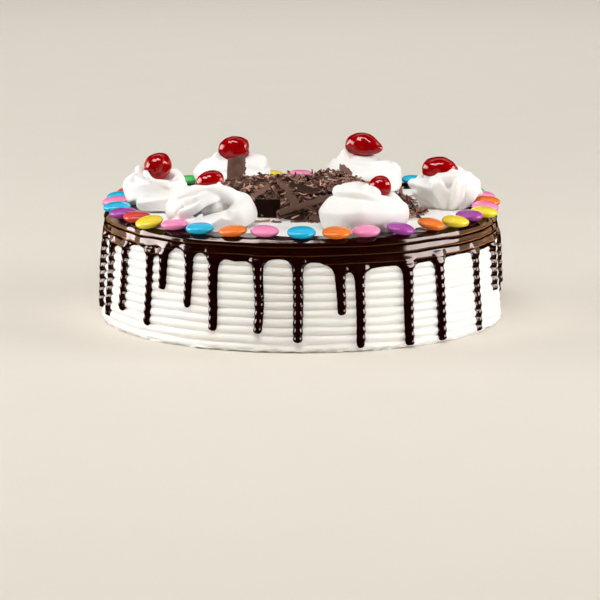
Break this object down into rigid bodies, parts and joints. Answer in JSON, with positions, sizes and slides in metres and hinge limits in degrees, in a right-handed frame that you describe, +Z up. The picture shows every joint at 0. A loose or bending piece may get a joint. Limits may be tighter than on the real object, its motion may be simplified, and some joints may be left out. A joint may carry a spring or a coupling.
{
  "type": "black forest cake",
  "caption": "Round black forest cake with combed cream sides, dripping chocolate glaze, a ring of sugar-coated candies, cream rosettes with cherries and a heap of chocolate shavings",
  "frame": {"origin": "centre of the flat underside, on the surface that the cake rests on", "axes": "+Z up, front along -Y, +X to the viewer's right"},
  "size_m": [0.2056, 0.2063, 0.0839],
  "materials": {
    "whipped_cream": "soft matte whipped cream",
    "chocolate_glaze": "glossy dark chocolate glaze",
    "chocolate_shavings": "dull shaved dark chocolate",
    "candy_blue": "smooth sugar shell, blue",
    "candy_orange": "smooth sugar shell, orange",
    "candy_pink": "smooth sugar shell, pink",
    "candy_purple": "smooth sugar shell, purple",
    "candy_yellow": "smooth sugar shell, yellow",
    "candy_green": "smooth sugar shell, green",
    "candy_red": "smooth sugar shell, red",
    "glazed_cherry": "glossy syrup-glazed cherry"
  },
  "bodies": {
    "root": {"cream_cake": "whipped_cream", "chocolate_glaze": "chocolate_glaze", "chocolate_shavings": "chocolate_shavings", "candy_01_blue": "candy_blue", "candy_02_orange": "candy_orange", "candy_03_pink": "candy_pink", "candy_04_purple": "candy_purple", "candy_05_orange": "candy_orange", "candy_06_yellow": "candy_yellow", "candy_07_purple": "candy_purple", "candy_08_yellow": "candy_yellow", "candy_09_pink": "candy_pink", "candy_10_orange": "candy_orange", "candy_11_pink": "candy_pink", "candy_12_green": "candy_green", "candy_13_red": "candy_red", "candy_14_yellow": "candy_yellow", "candy_15_blue": "candy_blue", "candy_16_orange": "candy_orange", "candy_17_purple": "candy_purple", "candy_18_green": "candy_green", "candy_19_pink": "candy_pink", "candy_20_yellow": "candy_yellow", "candy_21_red": "candy_red", "candy_22_orange": "candy_orange", "candy_23_green": "candy_green", "candy_24_blue": "candy_blue", "candy_25_pink": "candy_pink", "candy_26_red": "candy_red", "candy_27_blue": "candy_blue", "candy_28_pink": "candy_pink", "candy_29_blue": "candy_blue", "candy_30_purple": "candy_purple", "candy_31_red": "candy_red", "candy_32_yellow": "candy_yellow", "candy_33_pink": "candy_pink", "candy_34_blue": "candy_blue", "candy_35_orange": "candy_orange", "candy_36_pink": "candy_pink", "cherry_1": "glazed_cherry", "cherry_2": "glazed_cherry", "cherry_3": "glazed_cherry", "cherry_4": "glazed_cherry", "cherry_5": "glazed_cherry", "cherry_6": "glazed_cherry", "chocolate_curl": "chocolate_shavings", "chocolate_roll": "chocolate_shavings", "chocolate_slab": "chocolate_shavings", "rosette_1": "whipped_cream", "rosette_2": "whipped_cream", "rosette_3": "whipped_cream", "rosette_4": "whipped_cream", "rosette_5": "whipped_cream", "rosette_6": "whipped_cream"}
  },
  "joints": []
}
